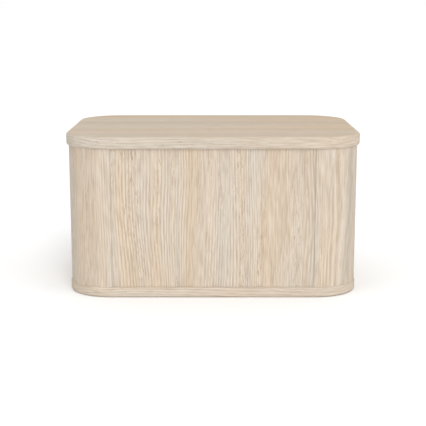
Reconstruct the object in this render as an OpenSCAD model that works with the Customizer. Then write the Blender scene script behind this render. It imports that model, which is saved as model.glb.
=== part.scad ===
// Bread box with a tambour front that slides sideways behind its right-hand corner.
// Sizes are in millimetres. +Z is up and the front faces -Y. The origin is on the
// surface that the box stands on, below the middle of the box.

/* [Outer size] */
// Width of the top panel, from side to side
width = 370; // [360:1:380]
// Depth of the top panel, from front to back
depth = 260; // [250:1:270]
// Corner radius of the top panel, seen from above
corner_r = 56; // [54:1:60]
// Clear height between the base panel and the top panel
wall_h = 173.5; // [150:0.5:220]

/* [Panels] */
// Thickness of the top panel
top_t = 15; // [14:0.5:18]
// Thickness of the base panel
base_t = 12.5; // [11:0.5:15]
// How far the top panel reaches past the wall
top_overhang = 3; // [2.5:0.5:4]
// How far the base panel reaches past the wall
base_ledge = 1; // [0.5:0.5:1.5]
// Radius of the rounding along the panels' edges
edge_r = 2; // [1:0.5:3]
// Radius of the rounding along the top panel's lower edge
under_r = 3; // [2:0.5:4]
// Thickness of the pads under the base
pad_t = 0.5; // [0.5:0.5:3]

/* [Shells] */
// Thickness of the outer shell
shell_t = 3.5; // [3:0.25:3.5]
// Thickness that the outer shell tapers to across the front
shell_edge_t = 1; // [0.8:0.1:1.4]
// Thickness of the inner liner
liner_t = 3; // [2.5:0.5:4]
// Clear width of the pocket between the shell and the liner, at the sides and back
pocket = 8; // [8:0.5:9]
// How far the shell and the liner reach onto the flat of the front, at each side
shell_lap = 3; // [2:0.5:4]

/* [Tambour] */
// Pitches across the flat of the front: the lead stile has the first, slats the rest
stations = 15; // [13:1:17]
// Thickness of a slat
slat_t = 4.8; // [4.4:0.2:5]
// Thickness of the lead stile
lead_t = 6.8; // [6:0.2:7]
// Seam between two slats
seam = 0.06; // [0.04:0.02:0.4]
// Gap between the shell and the outer face of the slats
slat_gap = 0.3; // [0.3:0.1:0.5]
// Thickness of the canvas behind the slats
canvas_t = 0.5; // [0.4:0.1:0.6]
// Depth of the grooves in the base and the top
groove_depth = 5; // [4:0.5:6]
// Width of the grooves
groove_w = 3.8; // [3.6:0.1:4]
// Thickness of a slat's tongues
tongue_t = 3.2; // [3:0.1:3.3]

/* [Hidden] */
$fn = 96;

oak = [0.86, 0.79, 0.71];
oak_edge = [0.82, 0.74, 0.65];
ply = [0.80, 0.71, 0.58];
beech = [0.84, 0.70, 0.52];

wall_w = width - 2 * top_overhang;
wall_d = depth - 2 * top_overhang;
wall_r = corner_r - top_overhang;
base_z = pad_t;
floor_z = base_z + base_t;
ceiling_z = floor_z + wall_h;

// The flat of the front runs between the ends of the two front corners.
flat_w = wall_w - 2 * wall_r;
opening_w = flat_w - 2 * shell_lap;
pitch = flat_w / stations;
slat_count = stations - 1;

// How far the liner and the slats' outer faces lie in from the wall's outer face.
liner_in = shell_t + pocket;
slat_in = shell_edge_t + slat_gap;
slat_y = -wall_d / 2 + slat_in;
// How far the groove's outer side lies in from the shell's inner face.
groove_in = slat_gap + (slat_t - groove_w) / 2;

// The felt strip that the lead stile closes on, and the post that carries it.
felt_t = 0.8;
felt_clear = 0.2;
post_face_x = -flat_w / 2 - felt_clear - felt_t;
post_reach = 26;
// Play between a post and the shells that it is glued between.
glue_gap = 0.1;
batten_l = 80;
rear_right_post_x = [84, 124];

// Slats stop this far short of the base and the top.
end_gap = 0.2;
tongue_w = 10;
tongue_l = groove_depth - 0.4;
slat_bevel = 0.05;
// Strip of each slat's end that the canvas leaves bare.
canvas_margin = 8;

// Grip along the back of the lead stile.
grip_w = 8;
grip_depth = 2;

screw_r = 1.75;
screw_hole_r = 2.2;
screw_head_r = 4;
screw_head_h = 2.4;
screw_bite = 26;
screw_slot = [4.6, 0.9, 1.4];
dowel_r = 2.5;
dowel_in_top = 10;
dowel_in_post = 14;
pad_r = 9;
pad_x = 140;
pad_y = 84;

// Middle of the pocket, as a distance in from the wall's outer face.
pocket_mid = shell_t + pocket / 2;
corner_mid_r = wall_r - pocket_mid;
front_post_angle = 16;
fixings = [
    [-flat_w / 2 - corner_mid_r * sin(front_post_angle),
     -(wall_d / 2 - wall_r) - corner_mid_r * cos(front_post_angle)],
    [-wall_w / 2 + pocket_mid, -25],
    [-wall_w / 2 + pocket_mid, 25],
    [-flat_w / 2 - corner_mid_r * sin(45), wall_d / 2 - wall_r + corner_mid_r * sin(45)],
    [-25, wall_d / 2 - pocket_mid],
    [25, wall_d / 2 - pocket_mid],
    [104, wall_d / 2 - pocket_mid]
];

function slat_name(i) = str("slat_", i < 10 ? "0" : "", i);

// A rectangle with rounded corners, in plan, centred on the origin.
module rounded_rect(w, d, r) {
    square([w - 2 * r, d], center = true);
    square([w, d - 2 * r], center = true);
    for (x = [-1, 1], y = [-1, 1])
        translate([x * (w / 2 - r), y * (d / 2 - r)]) circle(r = r);
}

// The wall's outline, moved inwards.
module wall_outline(inwards) {
    rounded_rect(wall_w - 2 * inwards, wall_d - 2 * inwards, wall_r - inwards);
}

// The shell's inner outline, moved inwards. It lies closer to the wall's outer face
// at the front than at the sides and the back, so that the tambour is almost flush.
module shell_outline(inwards) {
    closer = shell_t - shell_edge_t;
    translate([0, -closer / 2])
        rounded_rect(
            wall_w - 2 * (shell_t + inwards),
            wall_d - 2 * (shell_t + inwards) + closer,
            wall_r - shell_t - inwards
        );
}

// Cross-section of a panel from the middle of its corner out to its edge. low_r is
// the rounding of its lower edge.
module panel_section(r, t, low_r) {
    square([r - low_r, t]);
    translate([0, low_r]) {
        square([r - edge_r, t - low_r]);
        square([r, t - low_r - edge_r]);
    }
    translate([r - low_r, low_r]) circle(r = low_r);
    translate([r - edge_r, t - edge_r]) circle(r = edge_r);
}

// One side of a panel: the cross-section run along a straight length.
module panel_side(l, r, t, low_r) {
    rotate([90, 0, 0])
        linear_extrude(height = l, center = true) panel_section(r, t, low_r);
}

// A flat panel with rounded corners and rounded edges.
module rounded_panel(w, d, r, t, low_r) {
    inner_w = w - 2 * r;
    inner_d = d - 2 * r;
    translate([-inner_w / 2, -inner_d / 2, 0]) cube([inner_w, inner_d, t]);
    for (side = [0, 180])
        rotate([0, 0, side]) {
            translate([inner_w / 2, 0, 0]) panel_side(inner_d, r, t, low_r);
            translate([0, inner_d / 2, 0])
                rotate([0, 0, 90]) panel_side(inner_w, r, t, low_r);
        }
    for (turn = [0, 1, 2, 3])
        translate([
            (turn == 0 || turn == 3 ? 1 : -1) * inner_w / 2,
            (turn < 2 ? 1 : -1) * inner_d / 2,
            0
        ])
            rotate([0, 0, 90 * turn])
                rotate_extrude(angle = 90) panel_section(r, t, low_r);
}

// The groove's plan: along the front, round the right-hand front corner, back along
// the right-hand side and round the rear corner.
module groove_plan() {
    start_x = -flat_w / 2 - felt_clear;
    intersection() {
        difference() {
            shell_outline(groove_in);
            shell_outline(groove_in + groove_w);
        }
        union() {
            translate([start_x, -wall_d]) square([width, wall_d]);
            translate([flat_w / 2, -wall_d]) square([width, 2 * wall_d]);
        }
    }
}

module base_panel() {
    color(oak_edge)
    difference() {
        translate([0, 0, base_z])
            rounded_panel(
                wall_w + 2 * base_ledge, wall_d + 2 * base_ledge, wall_r + base_ledge,
                base_t, edge_r
            );
        translate([0, 0, floor_z - groove_depth])
            linear_extrude(height = groove_depth + 1) groove_plan();
        for (p = fixings)
            translate([p[0], p[1], base_z]) {
                translate([0, 0, -1]) cylinder(h = base_t + 2, r = screw_hole_r);
                cylinder(h = screw_head_h, r1 = screw_head_r, r2 = screw_hole_r);
            }
    }
}

module top_panel() {
    color(oak)
    difference() {
        translate([0, 0, ceiling_z]) rounded_panel(width, depth, corner_r, top_t, under_r);
        translate([0, 0, ceiling_z - 1])
            linear_extrude(height = groove_depth + 1) groove_plan();
        for (p = fixings)
            translate([p[0], p[1], ceiling_z - 1]) cylinder(h = dowel_in_top + 1, r = dowel_r);
    }
}

// A sheet that stands on the base, bent round the sides and back and open across the
// front. Its children are its outer outline and then its inner one.
module bent_sheet() {
    translate([0, 0, floor_z])
        linear_extrude(height = wall_h)
            difference() {
                children(0);
                children(1);
                translate([-opening_w / 2, -wall_d]) square([opening_w, wall_d]);
            }
}

module outer_shell() {
    color(oak)
    bent_sheet() {
        wall_outline(0);
        shell_outline(0);
    }
}

module inner_liner() {
    color(ply)
    bent_sheet() {
        wall_outline(liner_in);
        wall_outline(liner_in + liner_t);
    }
}

// A post between the shell and the liner, cut from the pocket's plan by a box.
module post(x, y) {
    color(beech)
    difference() {
        translate([0, 0, floor_z])
            linear_extrude(height = wall_h)
                intersection() {
                    difference() {
                        shell_outline(glue_gap);
                        wall_outline(liner_in - glue_gap);
                    }
                    translate([x[0], y[0]]) square([x[1] - x[0], y[1] - y[0]]);
                }
        for (p = fixings)
            translate([p[0], p[1], 0]) {
                translate([0, 0, floor_z - 1]) cylinder(h = screw_bite + 1, r = screw_r);
                translate([0, 0, ceiling_z - dowel_in_post])
                    cylinder(h = dowel_in_post + 1, r = dowel_r);
            }
    }
}

module left_front_post() {
    post([post_face_x - post_reach, post_face_x], [-wall_d / 2, -wall_d / 2 + wall_r]);
}

module rear_left_post() {
    post([-wall_w / 2, -flat_w / 2], [wall_d / 2 - wall_r, wall_d / 2]);
}

module rear_right_post() {
    post(rear_right_post_x, [0, wall_d / 2]);
}

module left_batten() {
    post([-wall_w / 2, 0], [-batten_l / 2, batten_l / 2]);
}

module rear_batten() {
    post([-batten_l / 2, batten_l / 2], [0, wall_d / 2]);
}

// Felt strip on the left-hand post, which the lead stile closes on.
module closing_felt() {
    color("dimgray")
    translate([post_face_x, slat_y, floor_z + end_gap])
        cube([felt_t, slat_t, wall_h - 2 * end_gap]);
}

// A countersunk wood screw with a cross slot, driven up through the base.
module wood_screw() {
    difference() {
        union() {
            cylinder(h = screw_head_h, r1 = screw_head_r - 0.1, r2 = screw_r);
            cylinder(h = base_t + screw_bite - 1, r = screw_r);
        }
        for (turn = [0, 90])
            rotate([0, 0, turn])
                translate([-screw_slot[0] / 2, -screw_slot[1] / 2, -0.1])
                    cube([screw_slot[0], screw_slot[1], screw_slot[2] + 0.1]);
    }
}

module base_screws() {
    color("silver")
    for (p = fixings)
        translate([p[0], p[1], base_z]) wood_screw();
}

module top_dowels() {
    color(beech)
    for (p = fixings)
        translate([p[0], p[1], ceiling_z - dowel_in_post + 0.5])
            cylinder(h = dowel_in_post + dowel_in_top - 1, r = dowel_r);
}

module foot_pads() {
    color("whitesmoke")
    for (x = [-pad_x, pad_x], y = [-pad_y, pad_y])
        translate([x, y, 0]) cylinder(h = pad_t, r = pad_r);
}

module canvas_backing() {
    color("linen")
    translate([
        -flat_w / 2 + pitch + seam,
        slat_y + slat_t,
        floor_z + canvas_margin
    ])
        cube([flat_w - pitch - 2 * seam, canvas_t, wall_h - 2 * canvas_margin]);
}

// An upright strip of the tambour at a station, with a tongue at each end and its
// outer edges bevelled.
module strip(station, t) {
    w = pitch - seam;
    mid_x = -flat_w / 2 + (station + 0.5) * pitch;
    translate([mid_x, slat_y, 0]) {
        translate([0, 0, floor_z + end_gap])
            linear_extrude(height = wall_h - 2 * end_gap)
                polygon([
                    [-w / 2 + slat_bevel, 0],
                    [w / 2 - slat_bevel, 0],
                    [w / 2, slat_bevel],
                    [w / 2, t],
                    [-w / 2, t],
                    [-w / 2, slat_bevel]
                ]);
        translate([-tongue_w / 2, (slat_t - tongue_t) / 2, floor_z - tongue_l])
            cube([tongue_w, tongue_t, wall_h + 2 * tongue_l]);
    }
}

module lead_stile() {
    color(oak)
    difference() {
        strip(0, lead_t);
        translate([
            -flat_w / 2 + (pitch - grip_w) / 2,
            slat_y + lead_t - grip_depth,
            floor_z + 2 * canvas_margin
        ])
            cube([grip_w, grip_depth + 1, wall_h - 4 * canvas_margin]);
    }
}

module slat(i) {
    color(oak) strip(i, slat_t);
}

base_panel();
top_panel();
outer_shell();
inner_liner();
left_front_post();
rear_left_post();
rear_right_post();
left_batten();
rear_batten();
closing_felt();
base_screws();
top_dowels();
foot_pads();
canvas_backing();
lead_stile();
for (i = [1 : slat_count])
    slat(i);
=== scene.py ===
"""Looks for the bread box: its woods, cloth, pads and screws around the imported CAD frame."""

import math

import bmesh
import bpy
import numpy as np
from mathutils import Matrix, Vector


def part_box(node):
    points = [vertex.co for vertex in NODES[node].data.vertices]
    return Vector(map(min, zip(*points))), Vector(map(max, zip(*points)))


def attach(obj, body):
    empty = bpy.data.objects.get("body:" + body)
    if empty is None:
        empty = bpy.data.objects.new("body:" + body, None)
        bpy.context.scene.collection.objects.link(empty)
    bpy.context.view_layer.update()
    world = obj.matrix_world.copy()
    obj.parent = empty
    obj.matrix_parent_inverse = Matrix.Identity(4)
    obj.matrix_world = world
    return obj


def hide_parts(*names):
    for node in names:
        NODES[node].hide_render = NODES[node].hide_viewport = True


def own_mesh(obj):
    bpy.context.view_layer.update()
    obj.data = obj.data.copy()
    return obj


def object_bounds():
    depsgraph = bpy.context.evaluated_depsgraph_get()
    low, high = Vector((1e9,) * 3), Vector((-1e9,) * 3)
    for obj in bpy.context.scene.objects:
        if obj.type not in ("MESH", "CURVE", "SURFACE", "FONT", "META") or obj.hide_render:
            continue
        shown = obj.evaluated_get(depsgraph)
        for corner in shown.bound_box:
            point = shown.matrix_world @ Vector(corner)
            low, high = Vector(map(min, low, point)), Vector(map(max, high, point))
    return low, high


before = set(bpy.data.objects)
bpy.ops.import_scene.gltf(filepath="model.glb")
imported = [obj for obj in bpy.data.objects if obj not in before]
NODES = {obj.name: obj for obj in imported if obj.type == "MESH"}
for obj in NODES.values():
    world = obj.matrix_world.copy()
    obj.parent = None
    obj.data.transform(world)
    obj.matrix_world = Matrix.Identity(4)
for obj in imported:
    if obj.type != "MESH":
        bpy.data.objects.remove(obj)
cad_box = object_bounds()

MM = 0.001
SLATS = sorted(n for n in NODES if n.startswith("slat_"))


# ---------------------------------------------------------------- node helpers

class Nodes:
    """Short ways to add and link the nodes of one material."""

    def __init__(self, name):
        self.material = bpy.data.materials.new(name)
        self.material.use_nodes = True
        self.tree = self.material.node_tree
        self.tree.nodes.clear()
        self.output = self.add("ShaderNodeOutputMaterial")
        self.shader = self.add("ShaderNodeBsdfPrincipled")
        self.link(self.shader.outputs["BSDF"], self.output.inputs["Surface"])

    def add(self, kind, **settings):
        node = self.tree.nodes.new(kind)
        for name, value in settings.items():
            setattr(node, name, value)
        return node

    def link(self, a, b):
        self.tree.links.new(a, b)

    def put(self, value, socket):
        """Sets a socket to a number or colour, or links it to another node's output."""
        if isinstance(value, bpy.types.NodeSocket):
            self.link(value, socket)
        else:
            socket.default_value = value

    def maths(self, operation, a, b=0.0, clamp=False):
        node = self.add("ShaderNodeMath", operation=operation, use_clamp=clamp)
        self.put(a, node.inputs[0])
        self.put(b, node.inputs[1])
        return node.outputs[0]

    def ramp(self, value, low, high):
        """value taken from low..high to 0..1, with a smooth rise."""
        node = self.add("ShaderNodeMapRange", interpolation_type="SMOOTHSTEP")
        self.put(value, node.inputs["Value"])
        node.inputs["From Min"].default_value = low
        node.inputs["From Max"].default_value = high
        return node.outputs["Result"]

    def mix(self, share, a, b, blend="MIX"):
        node = self.add("ShaderNodeMix", data_type="RGBA", blend_type=blend)
        self.put(share, node.inputs["Factor"])
        self.put(a, node.inputs["A"])
        self.put(b, node.inputs["B"])
        return node.outputs["Result"]

    def noise(self, vector, scale, detail=2.0, roughness=0.5, distortion=0.0):
        node = self.add("ShaderNodeTexNoise")
        self.link(vector, node.inputs["Vector"])
        node.inputs["Scale"].default_value = scale
        node.inputs["Detail"].default_value = detail
        node.inputs["Roughness"].default_value = roughness
        node.inputs["Distortion"].default_value = distortion
        return node.outputs["Fac"]

    def stretched(self, vector, scale):
        node = self.add("ShaderNodeVectorMath", operation="MULTIPLY")
        self.link(vector, node.inputs[0])
        node.inputs[1].default_value = scale
        return node.outputs["Vector"]

    def place(self):
        return self.add("ShaderNodeTexCoord").outputs["Object"]

    def bump(self, height, distance, strength=1.0):
        node = self.add("ShaderNodeBump")
        node.inputs["Strength"].default_value = strength
        node.inputs["Distance"].default_value = distance
        self.link(height, node.inputs["Height"])
        self.link(node.outputs["Normal"], self.shader.inputs["Normal"])


def rgb(r, g, b):
    return (r, g, b, 1.0)


def tinted(colour, factors):
    return rgb(*(c * f for c, f in zip(colour, factors)))


# ------------------------------------------------------------------- materials

# The wood's layers: cells to the metre across the grain, along it, and weight.
GRAIN = (
    (9.0, 0.6, 0.04),
    (34.0, 0.6, 0.10),
    (80.0, 0.9, 0.26),
    (170.0, 1.4, 0.38),
    (340.0, 10.0, 0.36),
    (760.0, 48.0, 1.45),
)
DRIFT_CELLS = (2.5, 1.3)
DRIFT_SIZE = 0.012
# Growth rings: their spacing, how strong they are, and how they wander.
RING_STEP = 3.5 * MM
RING_WEIGHT = 0.22
RING_DRIFT = 11.0
RING_DRIFT_CELLS = (40.0, 1.6)
RING_FADE_CELLS = (60.0, 4.0)
HUE_CELLS = (38.0, 1.8)
PORE_CELLS = (1300.0, 110.0)
PORE_BAND_CELLS = (80.0, 4.0)
# What the mean colour is multiplied by, per channel.
DARKEST = (0.852, 0.830, 0.800)
PALEST = (1.146, 1.170, 1.204)
PORE = (0.66, 0.58, 0.50)
COOL = (0.98, 1.025, 1.075)
WARM = (1.02, 0.975, 0.925)
# Broad figure on a panel's flat faces only, mixed with painted light: on average these faces are
# made paler and warmer than the edges, for how the top is lit.
FACE_CELLS = (26.0, 0.5)
FACE_FIGURE_AND_PAINTED_LIGHT_DARKEST = (0.99, 0.95, 0.87)
FACE_FIGURE_AND_PAINTED_LIGHT_PALEST = (1.16, 1.13, 1.10)
# A place in the noise for each wood, so many times its seed along X, Y and Z.
SEED_OFFSET = (1.0, 0.37, 0.61)
# Where smooth steps start and end, on a noise that runs from 0 to 1.
FADE_RANGE = (0.3, 0.7)
HUE_RANGE = (0.3, 0.7)
PORE_RANGE = (0.60, 0.70)
PORE_BAND_RANGE = (0.42, 0.66)
LEAST_PORES = 0.2
# Pale wood is a little rougher than dark wood.
ROUGH_BELOW = 0.08
ROUGH_SPREAD = 0.16
WOOD_SPECULAR = 0.04
WOOD_RELIEF = 0.08 * MM
# A panel's face counts as flat when its normal is at least this upright.
FLAT_NORMAL = 0.7


def round_the_edge(n, place, front_y):
    """Coordinates whose X runs along a panel's edge, for the veneer band round it.

    Returns them and the share, 0 or 1, that says where the panel's flat faces are.
    """
    axes = n.add("ShaderNodeSeparateXYZ")
    n.link(place, axes.inputs[0])
    x, y, z = axes.outputs
    past_front = n.maths("SUBTRACT", y, front_y)
    run = n.maths("ADD", x, n.maths("MULTIPLY", past_front, n.maths("SIGN", x)))
    band = n.add("ShaderNodeCombineXYZ")
    n.link(run, band.inputs["X"])
    n.link(z, band.inputs["Z"])
    normal = n.add("ShaderNodeSeparateXYZ")
    n.link(n.add("ShaderNodeNewGeometry").outputs["Normal"], normal.inputs[0])
    flat = n.maths("GREATER_THAN", n.maths("ABSOLUTE", normal.outputs["Z"]), FLAT_NORMAL)
    pick = n.add("ShaderNodeMix", data_type="VECTOR")
    n.link(flat, pick.inputs["Factor"])
    n.link(band.outputs[0], pick.inputs[4])
    n.link(place, pick.inputs[5])
    return pick.outputs[1], flat


def ring_lines(n, place, along, drift, fade):
    """Growth rings cut lengthwise: nearly even lines, -1 to 1, that wander and fade.

    They are counted round the box for upright grain, and across it for a panel.
    """
    axes = n.add("ShaderNodeSeparateXYZ")
    n.link(place, axes.inputs[0])
    x, y, z = axes.outputs
    if along == "z":
        down_the_side = n.maths("MULTIPLY", n.maths("ABSOLUTE", y), n.maths("SIGN", x))
        count = n.maths("SUBTRACT", x, down_the_side)
    else:
        count = n.maths("ADD", y, z)
    phase = n.maths("MULTIPLY", count, 2 * math.pi / RING_STEP)
    wave = n.maths("SINE", n.maths("ADD", phase, n.maths("MULTIPLY", drift, RING_DRIFT)))
    strength = n.maths("MULTIPLY", n.ramp(fade, *FADE_RANGE), 2.0)
    return n.maths("MULTIPLY", wave, strength)


def wood(name, along, mean, seed, contrast=1.0, pore_share=1.0, rough=0.55, front_y=None):
    """Open-pored wood whose grain runs along one axis ("x" or "z") of the object.

    mean is its average colour. Layers of noise, each so many cells to the metre across
    and along the grain, shift it between paler and darker; a separate layer shifts its
    hue. Short dark pores come last. All of it is bent by a slow drift. A panel gives
    front_y, its front's place, and its edges then get a band of their own.
    """
    n = Nodes(name)
    axis = "xyz".index(along)

    def scales(across, lengthwise):
        every = [across] * 3
        every[axis] = lengthwise
        return tuple(every)

    moved = n.add("ShaderNodeVectorMath", operation="ADD")
    place = n.place()
    flat = None
    if front_y is not None:
        place, flat = round_the_edge(n, place, front_y)
    n.link(place, moved.inputs[0])
    moved.inputs[1].default_value = tuple(seed * share for share in SEED_OFFSET)
    place = moved.outputs["Vector"]

    drift = n.add("ShaderNodeTexNoise")
    n.link(n.stretched(place, scales(*DRIFT_CELLS)), drift.inputs["Vector"])
    drift.inputs["Detail"].default_value = 0.0
    centred = n.add("ShaderNodeVectorMath", operation="SUBTRACT")
    n.link(drift.outputs["Color"], centred.inputs[0])
    centred.inputs[1].default_value = (0.5, 0.5, 0.5)
    bend = n.add("ShaderNodeVectorMath", operation="ADD")
    n.link(place, bend.inputs[0])
    n.link(n.stretched(centred.outputs["Vector"], scales(DRIFT_SIZE, 0.0)), bend.inputs[1])
    bent = bend.outputs["Vector"]

    def layer(across, lengthwise, detail=0.0):
        return n.noise(n.stretched(bent, scales(across, lengthwise)), 1.0, detail, 0.5)

    tone = 0.5
    for across, lengthwise, weight in GRAIN:
        part = n.add("ShaderNodeMath", operation="MULTIPLY_ADD")
        n.link(layer(across, lengthwise), part.inputs[0])
        part.inputs[1].default_value = weight * contrast
        n.put(tone, part.inputs[2])
        tone = part.outputs[0]
    rings = ring_lines(n, bent, along, layer(*RING_DRIFT_CELLS), layer(*RING_FADE_CELLS))
    tone = n.maths("ADD", tone, n.maths("MULTIPLY", rings, RING_WEIGHT * contrast))
    centre = sum(weight for *_, weight in GRAIN) * contrast * 0.5
    tone = n.maths("SUBTRACT", tone, centre, clamp=True)
    colour = n.mix(tone, tinted(mean, DARKEST), tinted(mean, PALEST))

    hue = n.ramp(layer(*HUE_CELLS, 2.0), *HUE_RANGE)
    warmth = n.mix(hue, rgb(*COOL), rgb(*WARM))
    colour = n.mix(1.0, colour, warmth, "MULTIPLY")
    # Painted light: a panel's flat faces get broad figure that also makes them paler and warmer
    # on average, for how the top is lit.
    if flat is not None:
        face = n.mix(layer(*FACE_CELLS), rgb(*FACE_FIGURE_AND_PAINTED_LIGHT_DARKEST), rgb(*FACE_FIGURE_AND_PAINTED_LIGHT_PALEST))
        colour = n.mix(flat, colour, n.mix(1.0, colour, face, "MULTIPLY"))

    holes = n.ramp(layer(*PORE_CELLS, 1.0), *PORE_RANGE)
    where = n.ramp(layer(*PORE_BAND_CELLS, 1.0), *PORE_BAND_RANGE)
    holes = n.maths("MULTIPLY", holes, n.maths("ADD", where, LEAST_PORES))
    colour = n.mix(n.maths("MULTIPLY", holes, pore_share, clamp=True), colour, tinted(mean, PORE))

    n.link(colour, n.shader.inputs["Base Color"])
    roughness = n.maths("ADD", n.maths("MULTIPLY", tone, ROUGH_SPREAD), rough - ROUGH_BELOW)
    n.link(roughness, n.shader.inputs["Roughness"])
    n.shader.inputs["Specular IOR Level"].default_value = WOOD_SPECULAR
    n.bump(n.maths("SUBTRACT", n.maths("MULTIPLY", tone, 0.3), holes), WOOD_RELIEF)
    return n.material


def paint(node, material):
    mesh = NODES[node].data
    mesh.materials.clear()
    mesh.materials.append(material)


# Mean colours of the woods, and how much of the oak's contrast the plainer ones have.
OAK = (0.459, 0.388, 0.312)
BIRCH = (0.50, 0.40, 0.28)
BEECH = (0.46, 0.32, 0.20)
PLAIN = 0.6

oak_wall = wood("oak_wall", "z", OAK, 1.7, 0.95, 0.7)
oak_panel = wood("oak_panel", "x", OAK, 4.3, 0.8, 0.5, front_y=cad_box[0][1])
birch = wood("birch_ply", "z", BIRCH, 7.9, PLAIN, 0.15)
beech = wood("beech", "z", BEECH, 11.3, PLAIN, 0.4)


def zinc():
    """Zinc-plated steel: faint mottling and fine pits."""
    n = Nodes("zinc")
    cloud = n.noise(n.place(), 900.0, 3.0, 0.6)
    colour = n.mix(cloud, rgb(0.50, 0.50, 0.47), rgb(0.68, 0.68, 0.66))
    n.link(colour, n.shader.inputs["Base Color"])
    n.shader.inputs["Metallic"].default_value = 1.0
    n.link(n.maths("ADD", n.maths("MULTIPLY", cloud, 0.25), 0.22), n.shader.inputs["Roughness"])
    n.bump(n.noise(n.place(), 4000.0, 2.0), 0.02 * MM)
    return n.material


def felt():
    """Pressed pale grey felt: matted fibres in several greys."""
    n = Nodes("felt")
    fibre = n.noise(n.place(), 2600.0, 4.0, 0.7, 1.5)
    cloud = n.noise(n.place(), 300.0, 2.0)
    tone = n.mix(fibre, rgb(0.24, 0.235, 0.225), rgb(0.46, 0.45, 0.43))
    share = n.maths("MULTIPLY", cloud, 0.3)
    n.link(n.mix(share, tone, rgb(0.36, 0.35, 0.34)), n.shader.inputs["Base Color"])
    n.shader.inputs["Roughness"].default_value = 0.95
    n.shader.inputs["Sheen Weight"].default_value = 0.4
    n.bump(fibre, 0.3 * MM)
    return n.material


THREAD_STEP = 1.0 * MM


def canvas_cloth():
    """Plain-woven cotton canvas: two sets of threads crossing at 1 mm."""
    n = Nodes("canvas_cloth")
    place = n.place()
    thread = 2 * math.pi / THREAD_STEP
    axes = n.add("ShaderNodeSeparateXYZ")
    n.link(place, axes.inputs[0])
    warp = n.maths("SINE", n.maths("MULTIPLY", axes.outputs["X"], thread))
    weft = n.maths("SINE", n.maths("MULTIPLY", axes.outputs["Z"], thread))
    weave = n.maths("MULTIPLY", warp, weft)
    slub = n.noise(n.stretched(place, (60.0, 60.0, 900.0)), 1.0, 2.0)
    lit = n.maths("ADD", n.maths("MULTIPLY", weave, 0.25), n.maths("MULTIPLY", slub, 0.5))
    colour = n.mix(n.ramp(lit, 0.0, 0.5), rgb(0.46, 0.41, 0.33), rgb(0.64, 0.59, 0.50))
    n.link(colour, n.shader.inputs["Base Color"])
    n.shader.inputs["Roughness"].default_value = 0.9
    n.shader.inputs["Sheen Weight"].default_value = 0.2
    n.bump(weave, 0.2 * MM)
    return n.material


def silicone():
    """Milky silicone with a fine moulded texture."""
    n = Nodes("silicone")
    cloud = n.noise(n.place(), 160.0, 2.0)
    colour = n.mix(cloud, rgb(0.66, 0.66, 0.63), rgb(0.78, 0.78, 0.76))
    n.link(colour, n.shader.inputs["Base Color"])
    n.shader.inputs["Roughness"].default_value = 0.45
    n.shader.inputs["Subsurface Weight"].default_value = 0.2
    n.shader.inputs["Subsurface Radius"].default_value = (2 * MM, 2 * MM, 2 * MM)
    n.bump(n.noise(n.place(), 2500.0, 2.0), 0.04 * MM)
    return n.material


for node in ("outer_shell", "lead_stile", *SLATS):
    paint(node, oak_wall)
for node in ("top_panel", "base_panel"):
    paint(node, oak_panel)
paint("inner_liner", birch)
for node in (
    "left_front_post",
    "rear_left_post",
    "rear_right_post",
    "left_batten",
    "rear_batten",
    "top_dowels",
):
    paint(node, beech)
paint("base_screws", zinc())


# ---------------------------------------------------------------- soft pieces

def new_piece(name, mesh, material, body, slot, *nodes):
    piece = bpy.data.objects.new(name, mesh)
    bpy.context.scene.collection.objects.link(piece)
    mesh.materials.append(material)
    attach(piece, body)
    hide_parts(*nodes)
    return piece


def lathe(points, centre, steps=48):
    """Vertices and faces of a solid turned about an upright axis. points are (r, z)."""
    made = bmesh.new()
    rings = []
    for r, z in points:
        ring = [
            made.verts.new((
                centre[0] + r * math.cos(2 * math.pi * k / steps),
                centre[1] + r * math.sin(2 * math.pi * k / steps),
                centre[2] + z,
            ))
            for k in range(steps)
        ]
        rings.append(ring)
    for low, high in zip(rings, rings[1:]):
        for k in range(steps):
            made.faces.new((low[k], low[(k + 1) % steps], high[(k + 1) % steps], high[k]))
    made.faces.new(rings[0][::-1])
    made.faces.new(rings[-1])
    return made


def join_into(target, source):
    """Adds one bmesh to another."""
    held = bpy.data.meshes.new("held")
    source.to_mesh(held)
    target.from_mesh(held)
    bpy.data.meshes.remove(held)
    source.free()


PAD_RADIUS = 9 * MM
# Shares of a pad's height.
PAD_RIM = 0.3
PAD_DISH = 0.3
RIM_STEPS = 4


def make_pads():
    """Four moulded pads, each with rounded rims and a shallow dish underneath."""
    low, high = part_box("foot_pads")
    height = high.z - low.z
    radius = PAD_RADIUS
    rim = PAD_RIM * height
    dish = PAD_DISH * height
    profile = [(radius * 0.45, dish), (radius * 0.7, dish * 0.8), (radius * 0.78, 0.0)]
    for k in range(RIM_STEPS + 1):
        a = math.pi / 2 * k / RIM_STEPS
        profile.append((radius - rim + rim * math.sin(a), rim - rim * math.cos(a)))
    profile.append((radius, height))
    every = bmesh.new()
    for x in (low.x + radius, high.x - radius):
        for y in (low.y + radius, high.y - radius):
            join_into(every, lathe(profile, (x, y, low.z)))
    mesh = bpy.data.meshes.new("silicone_pads")
    every.to_mesh(mesh)
    every.free()
    for face in mesh.polygons:
        face.use_smooth = len(face.vertices) == 4
    new_piece("silicone_pads", mesh, silicone(), "cabinet", "clear_pad", "foot_pads")


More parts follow.
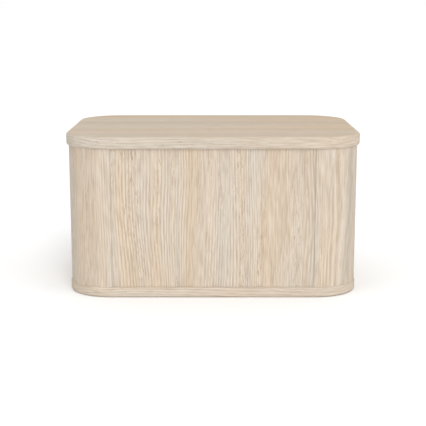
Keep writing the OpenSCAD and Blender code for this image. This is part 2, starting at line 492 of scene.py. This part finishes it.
def soft_strip(name, low, high, across, upward, swell):
    """A strip of cloth between two corners, as a closed grid.

    across and upward count its cells; swell(u, v, outer) is how far a point of one face
    moves along Y, in metres, where outer says that it is the face on the +Y side.
    """
    made = bmesh.new()
    sheets = []
    for y in (low.y, high.y):
        sheet = []
        for i in range(across + 1):
            u = i / across
            column = []
            for j in range(upward + 1):
                v = j / upward
                x = low.x + (high.x - low.x) * u
                z = low.z + (high.z - low.z) * v
                column.append(made.verts.new((x, y + swell(u, v, y == high.y), z)))
            sheet.append(column)
        sheets.append(sheet)
    front, back = sheets
    for i in range(across):
        for j in range(upward):
            made.faces.new((front[i][j], front[i + 1][j], front[i + 1][j + 1], front[i][j + 1]))
            made.faces.new((back[i][j], back[i][j + 1], back[i + 1][j + 1], back[i + 1][j]))
    for j in range(upward):
        made.faces.new((front[0][j], front[0][j + 1], back[0][j + 1], back[0][j]))
        made.faces.new((front[-1][j], back[-1][j], back[-1][j + 1], front[-1][j + 1]))
    for i in range(across):
        made.faces.new((front[i][0], back[i][0], back[i + 1][0], front[i + 1][0]))
        made.faces.new((front[i][-1], front[i + 1][-1], back[i + 1][-1], back[i][-1]))
    mesh = bpy.data.meshes.new(name)
    made.to_mesh(mesh)
    made.free()
    for face in mesh.polygons:
        face.use_smooth = True
    return mesh


CANVAS_CELLS_PER_SLAT = 8
CANVAS_CELLS_UP = 40
CANVAS_SLACK = 0.12 * MM


def make_canvas():
    """The tambour's canvas: tight over each slat and slightly slack at each seam."""
    low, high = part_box("canvas_backing")

    def seams(u, v, outer):
        phase = u * len(SLATS)
        near = abs(phase - round(phase)) * 2
        return CANVAS_SLACK * max(0.0, 1 - near * 3) if outer else 0.0

    across = CANVAS_CELLS_PER_SLAT * len(SLATS)
    mesh = soft_strip("canvas", low, high, across, CANVAS_CELLS_UP, seams)
    piece = new_piece("canvas", mesh, canvas_cloth(), "cabinet", "canvas", "canvas_backing")
    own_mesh(piece)


FELT_SEED = 5
FELT_CELLS = (6, 160)
FELT_UNEVEN = 0.03 * MM


def make_felt():
    """The strip that the lead stile closes on, with a slightly uneven surface."""
    low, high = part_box("closing_felt")
    rng = np.random.default_rng(FELT_SEED)
    across, upward = FELT_CELLS
    rough = rng.normal(0.0, FELT_UNEVEN, (across + 1, upward + 1, 2))

    def fuzz(u, v, outer):
        push = abs(rough[round(u * across), round(v * upward), int(outer)])
        return -push if outer else push

    mesh = soft_strip("felt_strip", low, high, across, upward, fuzz)
    new_piece("felt_strip", mesh, felt(), "cabinet", "grey_felt", "closing_felt")


make_pads()
make_canvas()
make_felt()


# ------------------------------------------------------- camera, floor, lights

# The camera's place, in widths of the box: in front of its middle and above its base.
CAMERA_BACK = 3.7022
CAMERA_UP = 0.964
CAMERA_TILT = 78.644
SENSOR = 36.0
LENS = 87.12


def look_at_front():
    """The camera, square to the front and a little above the box."""
    low, high = (Vector(p) for p in cad_box)
    width = high.x - low.x
    base_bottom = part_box("base_panel")[0].z
    data = bpy.data.cameras.new("camera")
    data.sensor_width = SENSOR
    data.lens = LENS
    camera = bpy.data.objects.new("camera", data)
    camera.location = (0.0, -CAMERA_BACK * width, base_bottom + CAMERA_UP * width)
    camera.rotation_euler = (math.radians(CAMERA_TILT), 0.0, 0.0)
    bpy.context.scene.collection.objects.link(camera)
    bpy.context.scene.camera = camera


FLOOR_REACH = 100.0
FLOOR_GREY = 0.90


def lay_floor():
    """A plain white floor that runs on to the horizon."""
    mesh = bpy.data.meshes.new("floor")
    ways = ((-1, -1), (1, -1), (1, 1), (-1, 1))
    corners = [(x * FLOOR_REACH, y * FLOOR_REACH, 0.0) for x, y in ways]
    mesh.from_pydata(corners, [], [(0, 1, 2, 3)])
    floor = bpy.data.objects.new("floor", mesh)
    bpy.context.scene.collection.objects.link(floor)
    n = Nodes("floor_white")
    n.shader.inputs["Base Color"].default_value = rgb(FLOOR_GREY, FLOOR_GREY, FLOOR_GREY)
    n.shader.inputs["Roughness"].default_value = 0.9
    n.shader.inputs["Specular IOR Level"].default_value = 0.0
    mesh.materials.append(n.material)


def sun(name, azimuth, elevation, angle, strength):
    """A soft, far-off white light. azimuth 0 is in front of the box and 90 on its right.

    angle is how wide it looks from the box. strength 1 lights a face turned towards it
    as a surround of strength 1 would.
    """
    data = bpy.data.lights.new(name, "SUN")
    data.energy = math.pi * strength
    data.angle = math.radians(angle)
    lamp = bpy.data.objects.new(name, data)
    a, e = math.radians(azimuth), math.radians(elevation)
    towards = Vector((math.sin(a) * math.cos(e), -math.cos(a) * math.cos(e), math.sin(e)))
    lamp.rotation_euler = (-towards).to_track_quat("-Z", "Y").to_euler()
    bpy.context.scene.collection.objects.link(lamp)


# How high the white band round the horizon reaches: full below, gone above.
HORIZON_BAND = (0.08, 0.20)


def surround(horizon, dome):
    """A studio that is white round the horizon and dimmer overhead."""
    world = bpy.data.worlds.new("studio")
    world.use_nodes = True
    tree = world.node_tree
    background = tree.nodes["Background"]
    background.inputs["Color"].default_value = rgb(1.0, 1.0, 1.0)
    place = tree.nodes.new("ShaderNodeTexCoord")
    axes = tree.nodes.new("ShaderNodeSeparateXYZ")
    fade = tree.nodes.new("ShaderNodeMapRange")
    fade.interpolation_type = "SMOOTHSTEP"
    fade.inputs["From Min"].default_value = HORIZON_BAND[0]
    fade.inputs["From Max"].default_value = HORIZON_BAND[1]
    fade.inputs["To Min"].default_value = horizon
    fade.inputs["To Max"].default_value = dome
    tree.links.new(place.outputs["Generated"], axes.inputs[0])
    tree.links.new(axes.outputs["Z"], fade.inputs["Value"])
    tree.links.new(fade.outputs["Result"], background.inputs["Strength"])
    bpy.context.scene.world = world


look_at_front()
lay_floor()
surround(1.0, 0.58)
sun("key", 14, 48, 25, 0.24)
sun("front", 8, 12, 20, 0.38)
sun("left", -60, 20, 50, 0.14)
sun("right", 60, 20, 50, 0.21)
sun("overhead", 0, 88, 80, 0.18)
sun("back", 180, 55, 60, 0.10)
bpy.context.scene.view_settings.view_transform = "Standard"
